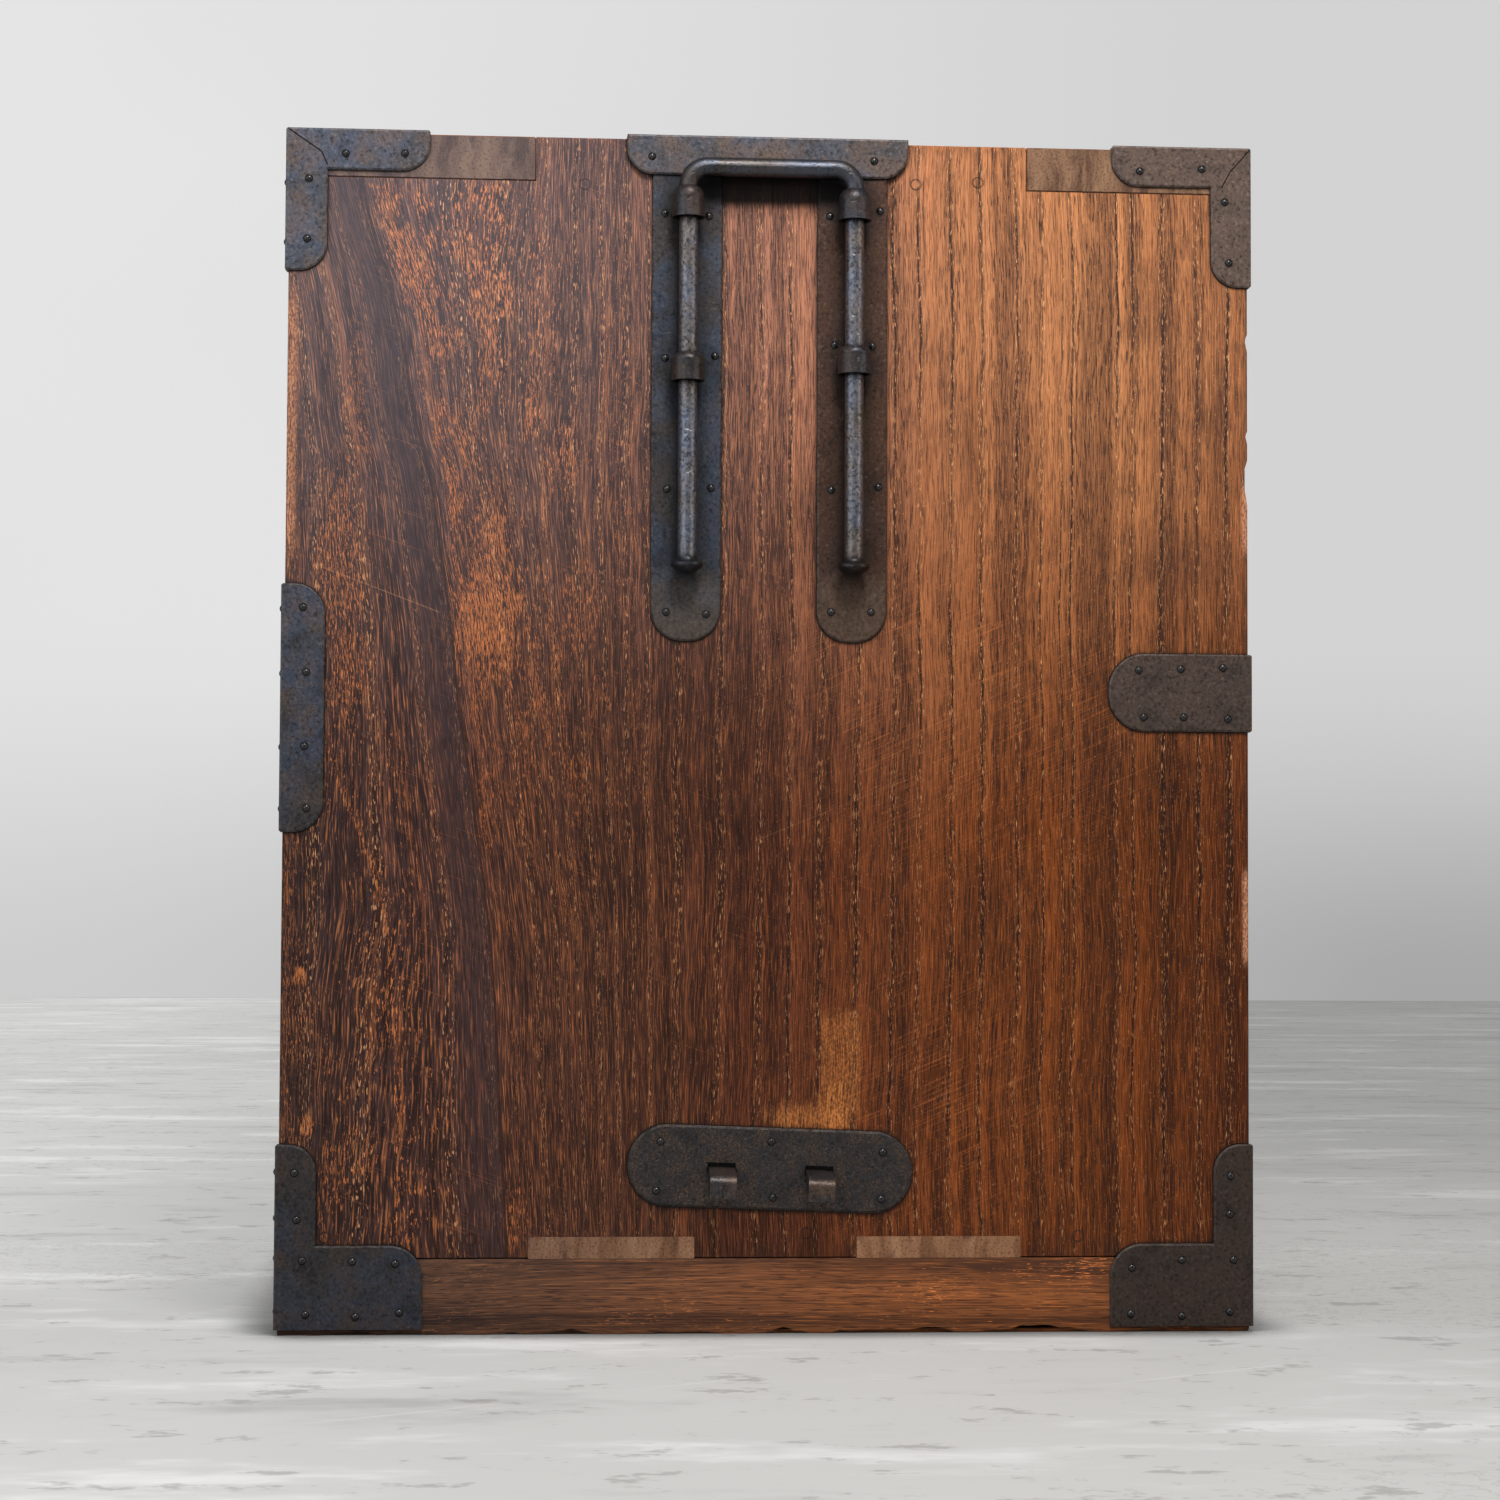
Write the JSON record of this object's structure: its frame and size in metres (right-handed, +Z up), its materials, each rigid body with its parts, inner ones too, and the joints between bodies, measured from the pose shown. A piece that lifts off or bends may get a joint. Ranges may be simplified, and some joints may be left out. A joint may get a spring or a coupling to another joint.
{
  "type": "isho clothing chest section",
  "caption": "Two-drawer wooden clothing chest section with forged-iron corner fittings, sliding carrying handles and stacking hooks at both ends.",
  "frame": {"origin": "on the floor, under the middle of the chest's bounding box", "axes": "+X towards the right end, -Y towards the front with the drawers, +Z up"},
  "size_m": [0.944, 0.4426, 0.5327],
  "materials": {
    "lacquered_wood": "worn thin brown lacquer over strongly figured hardwood",
    "plain_wood": "bare light softwood, aged",
    "forged_iron": "forged iron blackened with lacquer, lightly rusted"
  },
  "bodies": {
    "carcass": {"side_panel_right": "lacquered_wood", "side_panel_left": "lacquered_wood", "top_board": "lacquered_wood", "bottom_board": "lacquered_wood", "base_rail_right": "lacquered_wood", "base_rail_left": "lacquered_wood", "base_cross_rails": "lacquered_wood", "divider_rail": "lacquered_wood", "dust_board": "plain_wood", "back_boards": "plain_wood", "carcass_pegs": "plain_wood", "top_front_fitting_right": "forged_iron", "top_front_fitting_left": "forged_iron", "top_back_fitting_right": "forged_iron", "top_back_fitting_left": "forged_iron", "foot_front_fitting_right": "forged_iron", "foot_front_fitting_left": "forged_iron", "foot_back_fitting_right": "forged_iron", "foot_back_fitting_left": "forged_iron", "front_strap_right": "forged_iron", "front_strap_left": "forged_iron", "back_strap_right": "forged_iron", "back_strap_left": "forged_iron", "handle_strips_right": "forged_iron", "handle_strips_left": "forged_iron", "handle_cross_plate_right": "forged_iron", "handle_cross_plate_left": "forged_iron", "handle_collars_right": "forged_iron", "handle_collars_left": "forged_iron", "hook_plate_right": "forged_iron", "hook_plate_left": "forged_iron", "hooks_right": "forged_iron", "hooks_left": "forged_iron", "fitting_nails": "forged_iron"},
    "upper_drawer": {"upper_drawer_front": "lacquered_wood", "upper_drawer_side_right": "plain_wood", "upper_drawer_side_left": "plain_wood", "upper_drawer_back": "plain_wood", "upper_drawer_bottom": "plain_wood", "upper_lock_plate": "forged_iron", "upper_lock_case": "forged_iron", "upper_bail_roses": "forged_iron", "upper_bail_posts": "forged_iron"},
    "lower_drawer": {"lower_drawer_front": "lacquered_wood", "lower_drawer_side_right": "plain_wood", "lower_drawer_side_left": "plain_wood", "lower_drawer_back": "plain_wood", "lower_drawer_bottom": "plain_wood", "lower_lock_plate": "forged_iron", "lower_lock_case": "forged_iron", "lower_bail_roses": "forged_iron", "lower_bail_posts": "forged_iron"},
    "carry_handle_right": {"carry_handle_right": "forged_iron"},
    "carry_handle_left": {"carry_handle_left": "forged_iron"},
    "upper_bail_right": {"upper_bail_right": "forged_iron"},
    "upper_bail_left": {"upper_bail_left": "forged_iron"},
    "upper_lock_bolt": {"upper_lock_bolt": "forged_iron"},
    "lower_bail_right": {"lower_bail_right": "forged_iron"},
    "lower_bail_left": {"lower_bail_left": "forged_iron"},
    "lower_lock_bolt": {"lower_lock_bolt": "forged_iron"}
  },
  "joints": [
    {"name": "upper_drawer_slide", "type": "slide", "parent": "carcass", "child": "upper_drawer", "axis": [0, -1, 0], "range_m": [0, 0.34]},
    {"name": "lower_drawer_slide", "type": "slide", "parent": "carcass", "child": "lower_drawer", "axis": [0, -1, 0], "range_m": [0, 0.34]},
    {"name": "carry_handle_right_slide", "type": "slide", "parent": "carcass", "child": "carry_handle_right", "axis": [0, 0, 1], "range_m": [0, 0.08]},
    {"name": "carry_handle_left_slide", "type": "slide", "parent": "carcass", "child": "carry_handle_left", "axis": [0, 0, 1], "range_m": [0, 0.08]},
    {"name": "upper_bail_right_swing", "type": "hinge", "parent": "upper_drawer", "child": "upper_bail_right", "pos_m": [0.205, -0.21585, 0.40892], "axis": [-1, 0, 0], "range_deg": [-5, 185]},
    {"name": "upper_bail_left_swing", "type": "hinge", "parent": "upper_drawer", "child": "upper_bail_left", "pos_m": [-0.205, -0.21585, 0.40892], "axis": [-1, 0, 0], "range_deg": [-5, 185]},
    {"name": "upper_lock_bolt_throw", "type": "slide", "parent": "upper_drawer", "child": "upper_lock_bolt", "axis": [0, 0, 1], "range_m": [0, 0.012]},
    {"name": "lower_bail_right_swing", "type": "hinge", "parent": "lower_drawer", "child": "lower_bail_right", "pos_m": [0.205, -0.21585, 0.17217], "axis": [-1, 0, 0], "range_deg": [-5, 185]},
    {"name": "lower_bail_left_swing", "type": "hinge", "parent": "lower_drawer", "child": "lower_bail_left", "pos_m": [-0.205, -0.21585, 0.17217], "axis": [-1, 0, 0], "range_deg": [-5, 185]},
    {"name": "lower_lock_bolt_throw", "type": "slide", "parent": "lower_drawer", "child": "lower_lock_bolt", "axis": [0, 0, 1], "range_m": [0, 0.012]}
  ]
}
